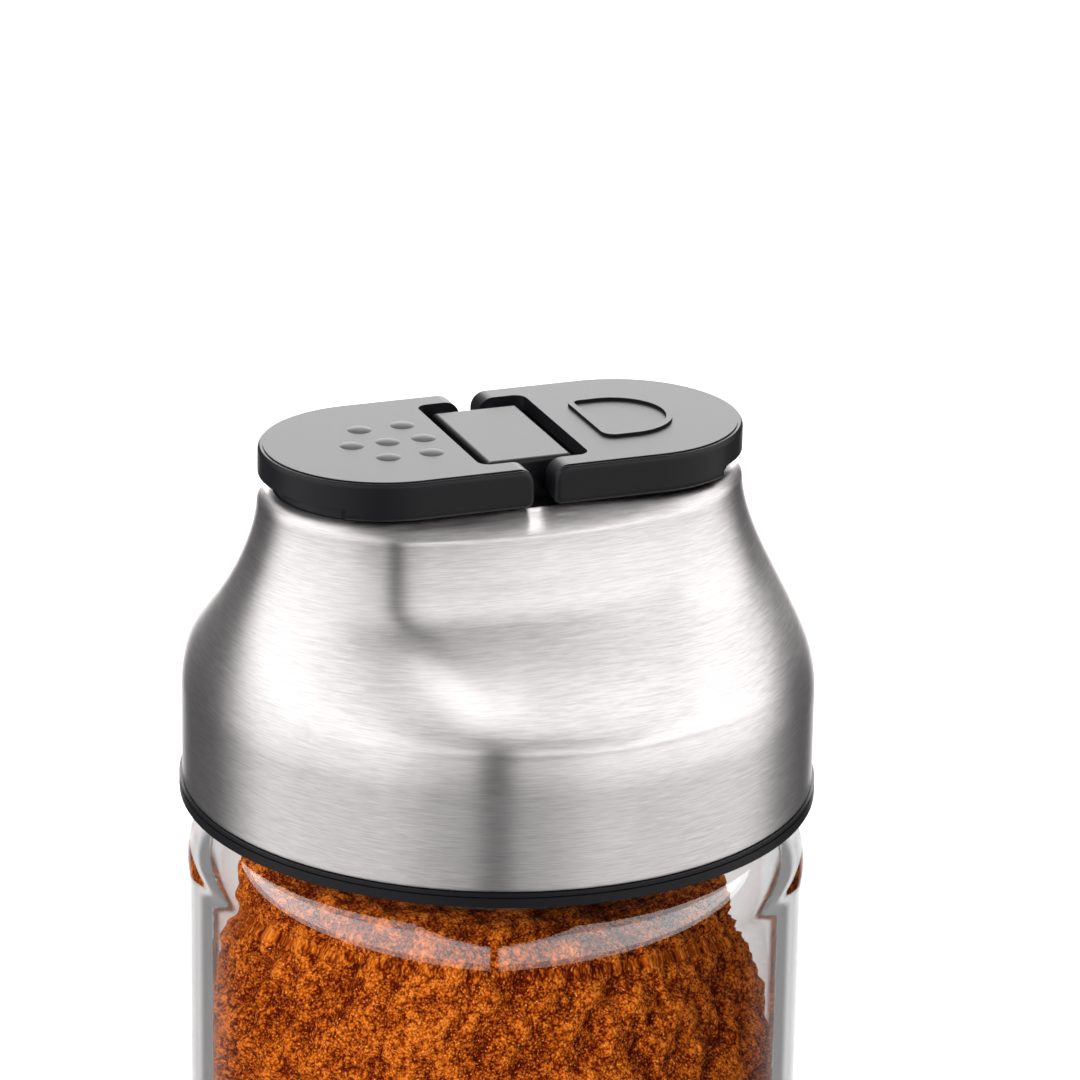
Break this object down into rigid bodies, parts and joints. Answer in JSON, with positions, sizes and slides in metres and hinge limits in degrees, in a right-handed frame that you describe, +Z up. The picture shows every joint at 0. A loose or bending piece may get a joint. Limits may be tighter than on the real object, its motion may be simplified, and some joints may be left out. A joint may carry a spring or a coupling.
{
  "type": "spice shaker dispenser",
  "caption": "Glass table shaker for ground spice, with a screw cap of brushed steel and two flip-up flaps, one over sifter holes and one over a pour opening.",
  "frame": {"origin": "middle of the jar's foot, on the surface it stands on", "axes": "+Z up; +X along the lid's long axis, towards the pour flap; -Y is the front"},
  "size_m": [0.0636, 0.0636, 0.1303],
  "materials": {
    "clear_glass": "gloss",
    "ground_spice": "matte",
    "brushed_steel": "satin",
    "black_plastic": "satin",
    "grey_plastic": "satin",
    "soft_seal": "matte",
    "pin_steel": "polished"
  },
  "bodies": {
    "jar": {"glass_jar": "clear_glass", "spice_fill": "ground_spice"},
    "seal": {"jar_seal": "soft_seal"},
    "cap": {"inner_cap": "grey_plastic", "base_ring": "black_plastic", "steel_dome": "brushed_steel", "lid_deck": "black_plastic", "hinge_bridge": "black_plastic", "shaker_hinge_pin": "pin_steel", "pour_hinge_pin": "pin_steel"},
    "shaker_lid": {"shaker_flap": "black_plastic", "shaker_plug": "soft_seal"},
    "pour_lid": {"pour_flap": "black_plastic", "pour_plug": "soft_seal"}
  },
  "joints": [
    {"name": "cap_lift", "type": "slide", "parent": "jar", "child": "seal", "axis": [0, 0, 1], "range_m": [0, 0.0151]},
    {"name": "cap_turn", "type": "hinge", "parent": "seal", "child": "cap", "pos_m": [0, 0, 0.1052], "axis": [0, 0, 1], "range_deg": [0, 1080]},
    {"name": "shaker_hinge", "type": "hinge", "parent": "cap", "child": "shaker_lid", "pos_m": [-0.0026, 0, 0.128], "axis": [0, 1, 0], "range_deg": [0, 90]},
    {"name": "pour_hinge", "type": "hinge", "parent": "cap", "child": "pour_lid", "pos_m": [0.0026, 0, 0.128], "axis": [0, -1, 0], "range_deg": [0, 90]}
  ],
  "couplings": [
    {"joint": "cap_lift", "follows": "cap_turn", "m_per_rad": 0.00079577}
  ]
}
